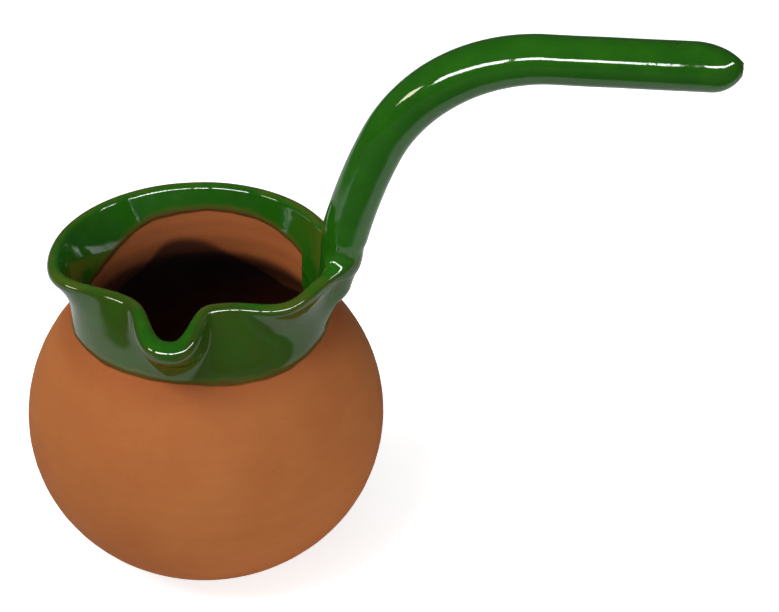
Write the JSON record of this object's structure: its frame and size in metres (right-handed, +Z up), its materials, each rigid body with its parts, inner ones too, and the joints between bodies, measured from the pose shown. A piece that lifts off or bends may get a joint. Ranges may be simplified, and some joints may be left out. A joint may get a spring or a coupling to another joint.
{
  "type": "coffee pot",
  "caption": "Clay coffee pot with a round belly, a flared and glazed collar, a pinched spout and a long bent handle luted to its rim.",
  "frame": {"origin": "the middle of the flat base, on the surface that the pot stands on", "axes": "+X runs along the handle from the pot's axis, -Y is the side of the spout, +Z is up"},
  "size_m": [0.1833, 0.096, 0.1555],
  "materials": {
    "terracotta": "bare fired clay, matte, with fine throwing lines",
    "green_glaze": "glossy green lead-type glaze that breaks to brown on its edges"
  },
  "bodies": {
    "root": {"pot": "terracotta", "handle": "terracotta", "luting_slip": "terracotta", "collar_glaze": "green_glaze", "handle_glaze": "green_glaze"}
  },
  "joints": []
}
